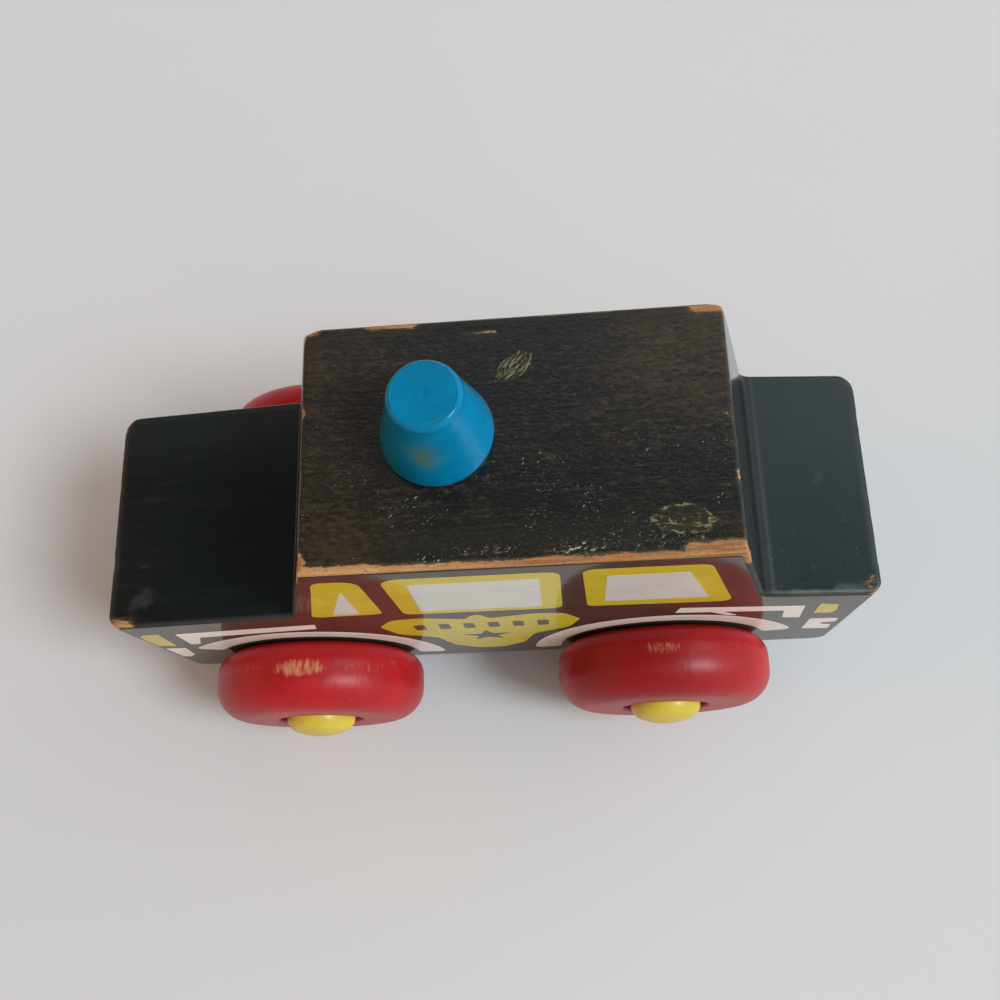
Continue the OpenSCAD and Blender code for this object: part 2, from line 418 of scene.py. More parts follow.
def nearness(points, start, end, reach):
    """1 on a stretch from start to end, falling to 0 at its reach, all in mm."""
    a, b = np.array(start) * MM, np.array(end) * MM
    d = b - a
    span = float(d @ d)
    t = np.clip((points - a) @ d / span, 0, 1) if span > 0 else np.zeros(len(points))
    gap = np.linalg.norm(points - (a + t[:, None] * d), axis=1)
    return np.clip(1 - gap / (reach * MM), 0, 1)


# Finishes

class Nodes:
    """A node tree, put together step by step."""

    def __init__(self, tree, output, coordinates):
        self.tree = tree
        tree.nodes.clear()
        self.output = self.add(output).inputs[0]
        self.place = self.add("TexCoord").outputs[coordinates]
        self.axis = self.add("SeparateXYZ", {0: self.place}).outputs

    def add(self, kind, sockets=None, **settings):
        """A node with its settings, and with values or links for its sockets, by name or number."""
        node = self.tree.nodes.new("ShaderNode" + kind)
        for key, value in settings.items():
            setattr(node, key, value)
        for key, value in (sockets or {}).items():
            self.feed(node.inputs[key], value)
        return node

    def feed(self, socket, value):
        if isinstance(value, bpy.types.NodeSocket):
            self.tree.links.new(value, socket)
        elif socket.type == "RGBA" and len(value) == 3:
            socket.default_value = (*value, 1)
        else:
            socket.default_value = value

    def math(self, operation, a, b=0.0):
        return self.add("Math", {0: a, 1: b}, operation=operation).outputs[0]

    def plus(self, *terms):
        return reduce(lambda a, b: self.math("ADD", a, b), terms)

    def times(self, *terms):
        return reduce(lambda a, b: self.math("MULTIPLY", a, b), terms)

    def rest(self, share):
        """What a share leaves of 1."""
        return self.math("SUBTRACT", 1.0, share)

    def stretch(self, scale, turn=0.0, shift=(0, 0, 0)):
        """Coordinates that are moved, turned about the upright and scaled."""
        sockets = {"Vector": self.place, "Location": shift, "Rotation": (0, 0, turn),
                   "Scale": tuple(1 / s for s in scale)}
        return self.add("Mapping", sockets, vector_type="TEXTURE").outputs[0]

    def along(self, share, turn=0.0):
        """Coordinates that draw a pattern out lengthways."""
        return self.stretch((share, 1, 1), turn)

    def oval(self, x, y, half_l, half_w, turn):
        """0 at the middle of an oval, in mm seen from above, and 1 at its edge."""
        spot = self.stretch((1 / (half_l * MM), 1 / (half_w * MM), MM), math.radians(turn), (x * MM, y * MM, 0))
        return self.add("VectorMath", {0: spot}, operation="LENGTH").outputs["Value"]

    def noise(self, place, scale, detail, roughness, distortion=0.0):
        sockets = {"Vector": place, "Scale": scale, "Detail": detail, "Roughness": roughness, "Distortion": distortion}
        return self.add("TexNoise", sockets).outputs["Fac"]

    def swing(self, noise, size):
        """A noise about its middle, times a size."""
        return self.times(self.math("SUBTRACT", noise, 0.5), size)

    def remap(self, value, low, high, to_low=0.0, to_high=1.0, smooth=True):
        sockets = dict(enumerate((value, low, high, to_low, to_high)))
        return self.add("MapRange", sockets, interpolation_type="SMOOTHSTEP" if smooth else "LINEAR").outputs[0]

    def zone(self, axis, start, end, to_low=0.0, to_high=1.0):
        """A smooth step between two places on an axis, in mm."""
        return self.remap(self.axis[axis], start * MM, end * MM, to_low, to_high)

    def mix(self, share, a, b):
        """A colour between two others."""
        return self.add("Mix", {0: share, 6: a, 7: b}, data_type="RGBA").outputs[2]

    def blend(self, share, a, b):
        """A value between two others."""
        return self.add("Mix", {0: share, 2: a, 3: b}, data_type="FLOAT").outputs[0]

    def brightened(self, color, level):
        return self.add("VectorMath", {0: color, "Scale": level}, operation="SCALE").outputs[0]


class Finish(Nodes):
    """A node material."""

    def __init__(self, name):
        self.material = bpy.data.materials.new(name)
        self.material.use_nodes = True
        super().__init__(self.material.node_tree, "OutputMaterial", "Object")

    def attribute(self, name):
        return self.add("Attribute", attribute_name=name).outputs["Fac"]

    def bump(self, height, distance, strength=1.0, under=None):
        sockets = {"Height": height, "Distance": distance, "Strength": strength}
        if under is not None:
            sockets["Normal"] = under
        return self.add("Bump", sockets).outputs[0]

    def surface(self, color, roughness, normal=None, shine=0.5):
        sockets = {"Base Color": color, "Roughness": roughness, "Specular IOR Level": shine}
        if normal is not None:
            sockets["Normal"] = normal
        self.feed(self.output, self.add("BsdfPrincipled", sockets).outputs[0])
        return self.material


def darker(color, by):
    return tuple(c * by for c in color)


# Tones on the block: of its paint by place, some of them painted reflections, of marks on the paint, of painted glints
# and of its bare wood
TONES = {
    "roof": (0.0062, 0.0066, 0.0052),
    "faded roof": (0.019, 0.0125, 0.0065),
    "left of roof": (0.018, 0.017, 0.0105),
    # Painted reflection: a bluer tone on the trunk's top that stands in for the cool light it reflects
    "trunk": (0.0056, 0.0140, 0.0160),
    # Painted reflection: a lighter, bluer tone on the hood's right end by the windscreen
    "right of hood": (0.0100, 0.0145, 0.0150),
    "streak": (0.0125, 0.0165, 0.0170),
    # The faint specks and the specks are painted glints: small highlights painted into the paint's colour
    "faint speck": (0.20, 0.18, 0.145),
    "speck": (0.44, 0.42, 0.36),
    "scuff": (0.062, 0.057, 0.022),
    "scratch": (0.25, 0.235, 0.115),
    "dust": (0.050, 0.047, 0.043),
    "rub": (0.085, 0.090, 0.082),
    "pale rub": (0.10, 0.10, 0.088),
    "scrape": (0.055, 0.056, 0.053),
    "soiled": (0.044, 0.034, 0.019),
    "pale wood": (0.52, 0.29, 0.115),
    "red wood": (0.40, 0.135, 0.034),
}
# Scuffs on the roof: an oval (middle, half sizes in mm, turn in degrees), how often it is ringed, its strokes (how far
# drawn out, turn, scale) and the level above which a stroke shows
SCUFFS = (
    ((7.9, 10.6, 2.7, 1.6, 38), 15, (0.14, 0.85, 3000), 0.53),
    ((30.3, -13.5, 3.9, 1.9, -5), 12, (0.16, -0.12, 2700), 0.59),
)
# Smears on hood and trunk: an oval, a share and a tone
SMEARS = (
    ((-57.8, -14.4, 3.6, 2.0, 35), 0.50, "dust"),
    ((55.4, 0.4, 1.9, 1.2, 60), 0.35, "dust"),
    ((58.4, -18.3, 4.6, 1.5, 0), 0.55, "rub"),
    ((51.5, -18.6, 6.0, 0.9, 0), 0.5, "pale rub"),
)
GLINT_TURN, FAINT_GLINT_TURN = 0.6, 0.25  # radians: turns of the strokes of the painted glints
PAINT_RELIEF, CHIP_RELIEF = 0.06 * MM, 0.12 * MM


def worn_black_paint(look):
    """Black brushed paint, coarse and thin on the roof, rubbed to bare wood along the edges, with painted glints and
    painted reflections in its colour.
    """
    f = Finish("worn_black_paint")
    roof = f.zone("Z", 77.9, 79.5)
    slope = f.times(f.zone("X", 38.6, 39.2), f.zone("Z", 55.2, 57.0))
    near = f.zone("Y", 9, -12)
    fibre = f.along(0.035)
    haze = f.noise(f.place, 750, 4, 0.65)

    # Bare wood, and the soiled rim round it
    flake = f.noise(f.place, 2600, 4, 0.6)
    ragged = f.noise(f.along(0.22), 1300, 6, 0.68)
    wear = f.plus(f.attribute("rubbed"), f.swing(ragged, 0.62), f.swing(flake, 0.22))
    bare = f.remap(wear, 0.47, 0.54)
    soiled = f.remap(wear, 0.33, 0.50)
    grain = f.noise(fibre, 2300, 5, 0.6, 0.6)
    figure = f.noise(fibre, 500, 3, 0.5, 0.4)
    warm = f.noise(f.along(0.4), 210, 3, 0.6)
    wood = f.mix(f.remap(grain, 0.34, 0.62), darker(look.wood, 0.5), look.wood)
    wood = f.mix(f.remap(figure, 0.42, 0.66), wood, TONES["pale wood"])
    wood = f.mix(f.times(f.remap(warm, 0.50, 0.66), 0.7), wood, TONES["red wood"])
    wood = f.mix(f.times(f.remap(flake, 0.57, 0.65), 0.7), wood, darker(look.wood, 0.20))

    # Where the paint of the roof is thin and faded
    lines = f.noise(fibre, 1500, 4, 0.62, 0.5)
    blotch = f.noise(f.along(0.5), 130, 4, 0.6)
    mottle = f.noise(f.along(0.5), 1500, 4, 0.7)
    rear = f.times(f.zone("X", 14, 30), f.zone("Y", -4, 6))
    faded = f.times(f.plus(f.zone("X", -4, -18), rear), roof)
    worn = f.plus(f.times(lines, 0.40), f.times(blotch, 0.42), f.times(mottle, 0.93), f.times(faded, 0.07))
    thin = f.times(f.remap(worn, 0.85, 1.12), f.zone("Y", 18.5, 13.5, 0.35, 1.0))
    streaks = f.remap(f.noise(f.along(0.045), 800, 4, 0.6), 0.46, 0.74)

    # Painted glints: bright specks in the paint's colour, crowded on the left and along the edge of the roof, with a
    # few on the left of the trunk
    glint_cluster = f.remap(f.noise(f.place, 230, 2, 0.5), 0.40, 0.62)
    edge = f.times(f.zone("Y", -14.6, -17.0), f.zone("Z", 79.5, 80.5), f.zone("X", -12, 12, 0.25, 0.8))
    glint_crowd = f.plus(f.times(glint_cluster, f.blend(near, 0.35, 1.0)), edge)
    deck = f.blend(roof, f.times(near, f.zone("X", 40, 46, 0.0, 0.8)), 1.0)
    faint_glint_grain = f.noise(f.along(0.34, FAINT_GLINT_TURN), 4300, 2, 0.5)
    faint = f.remap(f.plus(faint_glint_grain, f.times(glint_crowd, 0.08)), 0.70, 0.90, smooth=False)
    glint_grain = f.noise(f.along(0.50, GLINT_TURN), 3100, 2, 0.5)
    painted_glint = f.remap(f.plus(glint_grain, f.times(glint_crowd, 0.09)), 0.76, 0.90, smooth=False)

    paint = look.paint
    for share, tone in (
        (f.times(roof, 0.8), TONES["roof"]),
        (f.times(faded, 0.45), TONES["faded roof"]),
        (f.times(f.zone("Y", -10.5, -15.0), roof, 0.5), TONES["left of roof"]),
        # painted reflections: bluer tones on the trunk's top and on the hood's right end by the windscreen
        (f.times(f.zone("X", 45.5, 47.5), f.zone("Z", 50.0, 51.2)), TONES["trunk"]),
        (f.times(f.zone("X", -23.5, -26.5), f.zone("Y", 7, 17)), TONES["right of hood"]),
        (f.times(streaks, f.blend(roof, 0.55, 0.0)), TONES["streak"]),
        (f.times(thin, f.blend(roof, 0.05, 1.0)), look.stain),
        # painted glints, faint and bright
        (f.times(faint, roof), TONES["faint speck"]),
        (f.times(painted_glint, deck), TONES["speck"]),
    ):
        paint = f.mix(share, paint, tone)

    broken = f.remap(f.noise(f.place, 520, 2, 0.5), 0.40, 0.58)
    for oval, rings, (drawn_out, turn, scale), low in SCUFFS:
        stroke = f.noise(f.along(drawn_out, turn), scale, 3, 0.6)
        ring = f.plus(f.oval(*oval), f.swing(haze, 1.1))
        inside = f.times(f.remap(ring, 1.22, 1.02), roof)
        loop = f.times(f.remap(f.math("COSINE", f.times(f.plus(ring, -1.0), rings)), 0.45, 0.98), broken)
        paint = f.mix(f.times(inside, f.plus(0.12, f.times(loop, 0.35))), paint, TONES["scuff"])
        strokes = f.times(f.remap(stroke, low, low + 0.12), 0.7)
        scratch = f.plus(f.times(loop, f.remap(stroke, 0.42, 0.58)), strokes)
        paint = f.mix(f.times(inside, f.math("MINIMUM", scratch, 0.68)), paint, TONES["scratch"])
    for oval, share, tone in SMEARS:
        smear = f.remap(f.plus(f.oval(*oval), f.swing(haze, 1.8)), 1.0, 0.2)
        paint = f.mix(f.times(smear, share), paint, TONES[tone])
    scrape = f.remap(f.noise(f.along(0.055), 1300, 2, 0.5), 0.70, 0.82)
    paint = f.mix(f.times(scrape, f.blend(roof, 0.45, 0.0)), paint, TONES["scrape"])
    color = f.mix(bare, f.mix(soiled, paint, TONES["soiled"]), wood)

    # Shine: rear slope, its foot, the ends, the left flank and bare wood differ from the rest
    brush = f.noise(f.along(0.05), 900, 3, 0.5)
    rough = f.blend(roof, f.plus(0.11, f.times(brush, 0.09)), f.plus(0.11, f.times(lines, 0.13)))
    ends = f.remap(f.math("ABSOLUTE", f.axis["X"]), 62.6 * MM, 63.2 * MM)
    for share, level in (
        (slope, 0.15),
        (f.times(f.zone("X", 43.4, 44.2), f.zone("X", 55.5, 44.6)), 0.25),
        (ends, 0.6),
        (f.zone("Y", -18.0, -18.7), 0.55),
        (bare, 0.72),
    ):
        rough = f.blend(share, rough, level)
    pebble = f.noise(f.along(0.6), 1900, 3, 0.6)
    relief = f.plus(f.times(pebble, f.blend(roof, 0.10, 1.0)), f.times(lines, f.blend(roof, 0.06, 0.5)))
    normal = f.bump(f.times(relief, f.rest(slope)), PAINT_RELIEF)
    normal = f.bump(f.plus(f.rest(bare), f.times(grain, bare, 0.35)), CHIP_RELIEF, 0.9, normal)
    return f.surface(color, rough, normal)


INK_CHIP = (0.10, 0.075, 0.05)
INK_RELIEF = 0.012 * MM
# Inks of the print: the setting of its colour, how mottled and how chipped it is, and its roughness
INKS = {
    "black_ink": ("black", 0.25, 0.5, 0.06),
    "yellow_ink": ("yellow", 0.10, 0.35, 0.08),
    "white_ink": ("white", 0.07, 0.5, 0.08),
    "pane_ink": ("pane", 0.06, 0.8, 0.08),
    "mark_ink": ("mark", 0.3, 0.2, 0.08),
}


def ink(name, look):
    """An ink of the print, made the first time that it is asked for."""
    setting, *finish = INKS[name]
    return bpy.data.materials.get(name) or gloss_ink(name, getattr(look, setting), *finish)


def gloss_ink(name, color, mottle, chips, roughness):
    """Printed ink under gloss varnish, finely scratched, with small chips."""
    f = Finish(name)
    cloud = f.noise(f.place, 160, 3, 0.55)
    tone = f.mix(f.remap(cloud, 0.3, 0.7), darker(color, 1 - mottle), color)
    speck = f.remap(f.noise(f.along(0.7), 760, 3, 0.55), 0.735, 0.765)
    tone = f.mix(f.times(speck, chips), tone, INK_CHIP)
    scratch = f.noise(f.along(0.10), 1800, 4, 0.6)
    rough = f.plus(roughness, f.times(f.remap(scratch, 0.5, 0.8), 0.08), f.times(speck, 0.3))
    ripple = f.noise(f.along(0.35), 260, 2, 0.5)
    normal = f.bump(f.plus(ripple, f.times(scratch, 0.05)), INK_RELIEF)
    return f.surface(tone, rough, normal, 0.1)


def turned_paint(name, paint, wood, rubbed_scale, roughness, shine, nicks=0.55, fade=(0.42, 0.74), swing=0.9,
                 strokes=0.45, share=0.85, score=0.25):
    """Satin paint on turned wood: faint rings, dents and rubbed patches."""
    f = Finish(name)
    across = f.stretch((1, strokes, 1))
    ragged = f.noise(across, rubbed_scale, 5, 0.65)
    fine = f.noise(across, rubbed_scale * 2.6, 3, 0.6)
    wear = f.plus(f.attribute("rubbed"), f.swing(ragged, swing), f.swing(fine, swing * 0.4))
    bare = f.remap(wear, *fade)
    cloud = f.noise(f.place, 110, 3, 0.55)
    tone = f.mix(f.remap(cloud, 0.32, 0.68), darker(paint, 0.82), paint)
    tone = f.mix(f.attribute("dull"), tone, darker(paint, 0.55))
    streak = f.noise(f.stretch((1, 0.15, 1)), 900, 3, 0.5)
    tone = f.mix(f.times(f.remap(streak, 0.55, 0.75), 0.25), tone, darker(paint, 0.65))
    nick = f.remap(f.noise(f.place, 1150, 2, 0.5), 0.735, 0.765)
    tone = f.mix(f.times(nick, nicks), tone, darker(wood, 0.55))
    color = f.mix(f.times(bare, share), tone, wood)
    rough = f.plus(roughness, f.times(cloud, 0.10), f.times(nick, 0.2))
    rough = f.blend(bare, rough, 0.58)
    peel = f.noise(f.place, 420, 3, 0.55)
    normal = f.bump(f.plus(peel, f.times(streak, score), f.times(bare, -0.8), f.times(nick, -0.5)), PAINT_RELIEF)
    return f.surface(color, rough, normal, shine)


def pale_floor(look):
    """Plain matt floor with a faint unevenness."""
    f = Finish("pale_floor")
    cloud = f.noise(f.place, 6, 3, 0.5)
    tone = f.mix(f.remap(cloud, 0.35, 0.65), darker(look.floor, 0.985), look.floor)
    return f.surface(tone, 0.9, shine=0.1)


# Pieces

def side_corners(look):
    """The block's side outline in x and z, anticlockwise from the lower corner of the nose."""
    nose, tail, belly, roof = BLOCK_LOW.x, BLOCK_HIGH.x, BLOCK_LOW.z, BLOCK_HIGH.z
    return [
        (nose, belly),
        (tail, belly),
        (tail, belly + look.trunk_z - look.trunk_drop),
        (tail - look.trunk_l, belly + look.trunk_z),
        (tail - look.trunk_l - look.rear_lean, roof),
        (nose + look.hood_l + look.windscreen_lean, roof),
        (nose + look.hood_l, belly + look.hood_z),
        (nose, belly + look.hood_z - look.hood_drop),
    ]


# Stretches of the block that are rubbed to the wood: start, end and reach in mm, and depth from 0 to 1
RUBBED = (
    ((-23.0, -18.9, 80.6), (38.0, -18.9, 80.6), 2.2, 1.00),
    ((-23.0, -18.9, 80.7), (-14.0, -18.9, 80.7), 2.8, 0.95),
    ((31.5, -18.9, 80.9), (38.3, -18.9, 81.1), 4.2, 0.95),
    ((-23.2, -18.9, 81.2), (-23.2, -16.6, 81.2), 2.2, 0.95),
    ((-23.2, -18.9, 81.2), (-24.2, -18.9, 77.8), 3.0, 0.90),
    ((38.4, -18.9, 81.2), (39.4, -18.9, 77.0), 3.4, 0.90),
    ((-23.2, 18.9, 80.9), (-22.0, 18.9, 80.9), 3.0, 0.85),
    ((-13.2, 18.9, 80.6), (-7.0, 18.9, 80.9), 2.3, 0.90),
    ((-63.6, 5.6, 52.2), (-63.6, 6.2, 52.2), 1.4, 0.55),
    ((35.0, 18.9, 80.8), (38.3, 18.9, 80.8), 3.6, 0.95),
    ((0.4, 16.2, 81.2), (5.4, 16.5, 81.2), 1.0, 0.56),
    ((-23.2, 5.0, 81.2), (-23.2, 5.4, 81.2), 1.5, 0.80),
    ((-23.2, -4.0, 81.2), (-23.2, -6.0, 81.2), 1.4, 0.55),
    ((38.3, 0.8, 81.2), (37.2, 1.4, 81.2), 1.5, 0.60),
    ((38.3, -8.5, 81.2), (38.3, -7.2, 81.2), 1.6, 0.60),
    ((-63.5, -18.9, 50.2), (-60.6, -19.0, 50.7), 4.6, 1.00),
    ((-63.5, -18.9, 52.3), (-63.5, -18.9, 40.0), 2.6, 0.75),
    ((-63.3, 16.6, 52.0), (-62.6, 17.9, 52.0), 2.0, 0.52),
    ((-63.6, -9.4, 52.2), (-63.6, -7.0, 52.2), 1.5, 0.58),
    ((-63.5, 18.9, 50.0), (-63.5, 18.9, 44.0), 2.9, 0.75),
    ((63.5, -18.9, 50.8), (62.4, -18.9, 51.0), 3.4, 0.80),
    ((62.0, -16.6, 52.2), (61.2, -17.4, 52.3), 2.6, 0.56),
    ((63.5, -18.9, 52.0), (63.5, -18.9, 36.0), 2.4, 0.70),
    ((62.4, 17.8, 52.1), (62.9, 16.5, 52.1), 2.6, 0.46),
    ((63.6, -14.0, 52.0), (63.6, 12.0, 52.0), 1.3, 0.50),
    ((-63.0, -18.9, 15.0), (-60.0, -18.9, 12.3), 3.6, 0.85),
    ((-63.0, 18.9, 15.0), (-60.0, 18.9, 12.3), 3.4, 0.85),
    ((63.0, -18.9, 15.0), (60.0, -18.9, 12.3), 3.4, 0.85),
    ((63.0, 18.9, 15.0), (60.0, 18.9, 12.3), 3.6, 0.85),
    ((-10.0, -18.9, 12.2), (9.0, -18.9, 12.2), 1.9, 0.70),
    ((-22.0, 18.9, 12.2), (16.0, 18.9, 12.2), 1.9, 0.75),
    ((12.0, 18.9, 81.3), (22.0, 18.9, 81.3), 1.6, 0.60),
    ((-44.0, 18.9, 53.6), (-52.0, 18.9, 52.9), 1.5, 0.45),
)
# Corners of the roof that are worn round: place, step inwards and reach, in mm
BLUNTED = (
    ((-23.2, 18.85, 81.2), (0.30, -0.42, -0.1), 2.4),
    ((38.3, 18.85, 81.2), (-0.20, -0.20, -0.05), 1.3),
)
BLUNT_PICK = 0.7 * MM  # points this near to a corner move all the way
FLANK = 0.4 * MM  # depth under the sides that is not carved
SIDE_REST, SIDE_FADE = 1.2 * MM, 1.0 * MM  # depth under the sides where the sanding starts to fade, and over what
SLOPE_START = 0.2 * MM  # behind the roof's rear edge, where the sanding ends
SHARP_ANGLE = math.radians(35)
# Upright edges at the nose and tail: under a share of the trunk's height, within a share of the belly's radius
CORNER_TOP, CORNER_NEAR = 0.9, 0.8
CORNER_STEPS, EDGE_STEPS = 6, 4
RUB_START, RUB_GAIN = 0.30, 1.6  # rubbing from which wood is lost, and how fast that grows


class TOYCAR_OT_body_block(bpy.types.Operator):
    """Saw, sand and paint the block, with its edges rubbed to the wood"""
    bl_idname = "toycar.body_block"
    bl_label = "Body block"

    def execute(self, context):
        look = context.scene.toycar_block
        radii = [look.belly_r, look.belly_r, 0, look.trunk_fillet, 0, 0, look.hood_fillet, 0]
        corners = [(x, z, r) for (x, z), r in zip(side_corners(look), radii)]
        obj = slab("car_block", rounded(corners), BLOCK_LOW.y, BLOCK_HIGH.y)
        let_go()
        self.sand_edges(obj, look)
        self.cut_grid(obj, look.grid * (1))
        self.blunt(obj)
        self.rub(obj, look)
        finish_piece(obj, worn_black_paint(look), CAR, smooth=50, replaces=["body_block"])
        return {"FINISHED"}

    def sand_edges(self, obj, look):
        """Round the upright corners of the nose and tail, then every edge that is still sharp."""
        nose, tail = BLOCK_LOW.x, BLOCK_HIGH.x
        deck = BLOCK_LOW.z + look.trunk_z * CORNER_TOP
        left = look.near_corner_r / look.corner_r
        crisp = look.crisp_r / look.edge_r

        def corner(edge):
            a, b = (v.co for v in edge.verts)
            middle = (a + b) / 2
            level = abs(a.y - b.y) > SAME or abs(a.z - b.z) < SAME
            away = min(abs(middle.x - nose), abs(middle.x - tail))
            if level or middle.z > deck or away > look.belly_r * CORNER_NEAR:
                return 0
            return left if middle.y < 0 else 1

        def sharp(edge):
            if edge.calc_face_angle(0) < SHARP_ANGLE:
                return 0
            a, b = (v.co for v in edge.verts)
            middle = (a + b) / 2
            return crisp if abs(a.y - b.y) > SAME or deck < middle.z < BLOCK_HIGH.z - MM else 1

        self.bevel(obj, look.corner_r, CORNER_STEPS, corner)
        self.bevel(obj, look.edge_r, EDGE_STEPS, sharp)

    def bevel(self, obj, width, segments, rule):
        """Round the edges that a rule gives a share of the width."""
        bm = bmesh.new()
        bm.from_mesh(obj.data)
        shares = [rule(edge) for edge in bm.edges]
        bm.free()
        set_attribute(obj, "bevel_weight_edge", shares, "EDGE")
        apply_modifier(obj, "BEVEL", width=width, segments=segments, limit_method="WEIGHT", use_clamp_overlap=False)

    def cut_grid(self, obj, step):
        """Cut the faces into a grid fine enough to carve wear in."""
        take(obj, "EDIT")
        low, high = BLOCK_LOW, BLOCK_HIGH
        for axis in range(3):
            normal = Vector((0, 0, 0))
            normal[axis] = 1
            count = max(1, round((high[axis] - low[axis]) / step))
            for k in range(count):
                place = low.copy()
                place[axis] = low[axis] + (high[axis] - low[axis]) * (k + 0.5) / count
                pick_all()
                bpy.ops.mesh.bisect(plane_co=place, plane_no=normal)
        right_way_out()
        let_go()

    def blunt(self, obj):
        """Press the worn corners of the roof inwards."""
        take(obj, "EDIT")
        for place, step, reach in BLUNTED:
            corner = Vector(place) * MM
            pick("VERT", lambda v: (v.co - corner).length < BLUNT_PICK)
            bpy.ops.transform.translate(value=Vector(step) * MM, use_proportional_edit=True,
                                        proportional_edit_falloff="SHARP", proportional_size=reach * MM)
        let_go()

    def rub(self, obj, look):
        """Carve the rubbed edges, and leave the marks of rubbing for the paint."""
        at = points_of(obj)
        rubbed = np.zeros(len(at))
        for start, end, reach, depth in RUBBED:
            rubbed = np.maximum(rubbed, depth * nearness(at, start, end, reach))
        set_attribute(obj, "rubbed", rubbed)
        across = np.abs(at[:, 1]) - BLOCK_HIGH.y
        flank = np.clip((across + FLANK) / FLANK, 0, 1)
        side = np.clip((across + SIDE_REST) / SIDE_FADE, 0, 1)
        slope_x = BLOCK_HIGH.x - look.trunk_l - look.rear_lean + SLOPE_START
        slope = (at[:, 0] > slope_x) & (at[:, 2] > BLOCK_LOW.z + look.trunk_z)
        carved = np.clip((rubbed - RUB_START) * RUB_GAIN, 0, 1) * (1 - flank)
        carve(obj, "rubbed", carved, look.rub_depth, "ragged", grain=2.2 * MM, octaves=3, contrast=1.5)
        carve(obj, "sanded", (1 - side) * (1 - slope), look.sand_depth, "uneven", grain=11 * MM)


# The right facing's corner under a worn corner of the roof is worn off: a place and the outward normal of the cut
WORN_OFF = Vector((-20.8, 0, 80.3)) * MM, (-0.61, 0, 0.79)
FACING_EDGE = 0.06 * MM  # bevel
PRINT_SMOOTH = 12  # degrees


class TOYCAR_OT_side_facings(bpy.types.Operator):
    """Lay a glossy black facing on each side of the block"""
    bl_idname = "toycar.side_facings"
    bl_label = "Side facings"

    def execute(self, context):
        look = context.scene.toycar_print
        block = context.scene.toycar_block
        margins = [look.end_margin if side in (1, 7) else look.edge_margin for side in range(8)]
        margins[5] = look.screen_margin
        belly_r = max(block.belly_r - look.end_margin, look.corner_r)
        plain = look.corner_r
        radii = [belly_r, belly_r, plain, block.trunk_fillet + look.edge_margin, plain, plain,
                 block.hood_fillet + look.edge_margin, plain]
        corners = [(x, z, r) for (x, z), r in zip(inset(side_corners(block), margins), radii)]
        left = slab("left_facing", rounded(corners, steps=8), -BLOCK_HIGH.y, -FACING_Y)
        pick("EDGE", lambda e: all(v.co.y < -FACING_Y + SAME for v in e.verts))
        bpy.ops.mesh.bevel(offset=FACING_EDGE, segments=2, affect="EDGES")
        let_go()
        right = copy_across(left, "right_facing", look.squeeze)
        take(right, "EDIT")
        pick_all()
        place, normal = WORN_OFF
        bpy.ops.mesh.bisect(plane_co=place, plane_no=normal, use_fill=True, clear_outer=True)
        let_go()
        material = ink("black_ink", look)
        finish_piece(left, material, CAR, PRINT_SMOOTH, ["left_side_print"])
        finish_piece(right, material, CAR, PRINT_SMOOTH, ["right_side_print"])
        return {"FINISHED"}


def shapes_of(table, steps):
    """Rounded outlines of a table's shapes, whose corners are in mm."""
    return [rounded([tuple(v * MM for v in corner) for corner in corners], steps) for corners in table]


def print_layer(name, outlines, layer, look, ink_name):
    """Flat shapes of one ink on the left facing, joined, with a mirrored copy on the right."""
    top = -FACING_Y - layer * look.ink_t
    pieces = []
    for k, outline in enumerate(outlines):
        pieces.append(slab(f"{name}_{k}", outline, top + look.ink_t, top))
        let_go()
    left = join("left_" + name, pieces)
    for piece in (left, copy_across(left, "right_" + name, look.squeeze)):
        finish_piece(piece, ink(ink_name, look), CAR, PRINT_SMOOTH)


# Window frames and panes on the side: corners in x, z and radius, in mm
WINDOW_FRAMES = (
    ((-28.2, 53.8, 1.2), (-16.3, 54.4, 1.4), (-15.9, 76.9, 3.0), (-22.3, 76.9, 1.8)),
    ((-13.1, 53.0, 1.8), (12.7, 52.8, 1.8), (13.0, 76.9, 2.2), (-12.7, 77.1, 3.2)),
    ((16.7, 53.2, 1.4), (39.9, 52.2, 1.8), (34.0, 77.2, 2.2), (16.1, 77.4, 1.8)),
)
WINDOW_PANES = (
    ((-24.4, 55.3, 0.2), (-20.0, 55.3, 0.2), (-19.4, 71.4, 0.2)),
    ((-10.1, 55.2, 0.3), (9.5, 55.0, 0.3), (9.9, 73.3, 0.3), (-9.2, 73.3, 0.3)),
    ((19.4, 56.5, 0.3), (35.7, 56.1, 0.3), (31.3, 73.2, 0.3), (19.6, 73.2, 0.3)),
)


class TOYCAR_OT_windows(bpy.types.Operator):
    """Print the yellow window frames and their pale panes"""
    bl_idname = "toycar.windows"
    bl_label = "Windows"

    def execute(self, context):
        look = context.scene.toycar_print
        print_layer("window_frames", shapes_of(WINDOW_FRAMES, steps=5), 1, look, "yellow_ink")
        print_layer("window_panes", shapes_of(WINDOW_PANES, steps=2), 2, look, "pane_ink")
        return {"FINISHED"}


# Badge on the doors: corners of its left half in x, z and radius, in mm from its middle and the floor
BADGE_X = -1.8
BADGE_HALF = (
    (0.0, 50.0, 0.0), (-0.9, 49.6, 0.3), (-2.1, 46.9, 1.0), (-9.5, 49.4, 8.0), (-14.6, 48.4, 3.0),
    (-17.2, 43.2, 1.6), (-15.2, 36.4, 4.0), (-8.8, 31.6, 3.0), (-6.6, 23.5, 3.6), (-2.6, 19.4, 3.0),
    (0.0, 19.1, 0.0),
)
# Its star: middle, and radius of the points and between them, in mm
STAR_X, STAR_Z, STAR_R, STAR_IN = -1.4, 31.9, 4.4, 1.75
STAR_POINTS = 5
# Its blocks: how many, from and to where they stand, the height of their middle, their size and corners, in mm
BLOCKS = 6
BLOCK_X, BLOCK_Z = (-13.2, 10.0), 41.5
BLOCK_W, BLOCK_H, BLOCK_R = 1.9, 4.2, 0.4


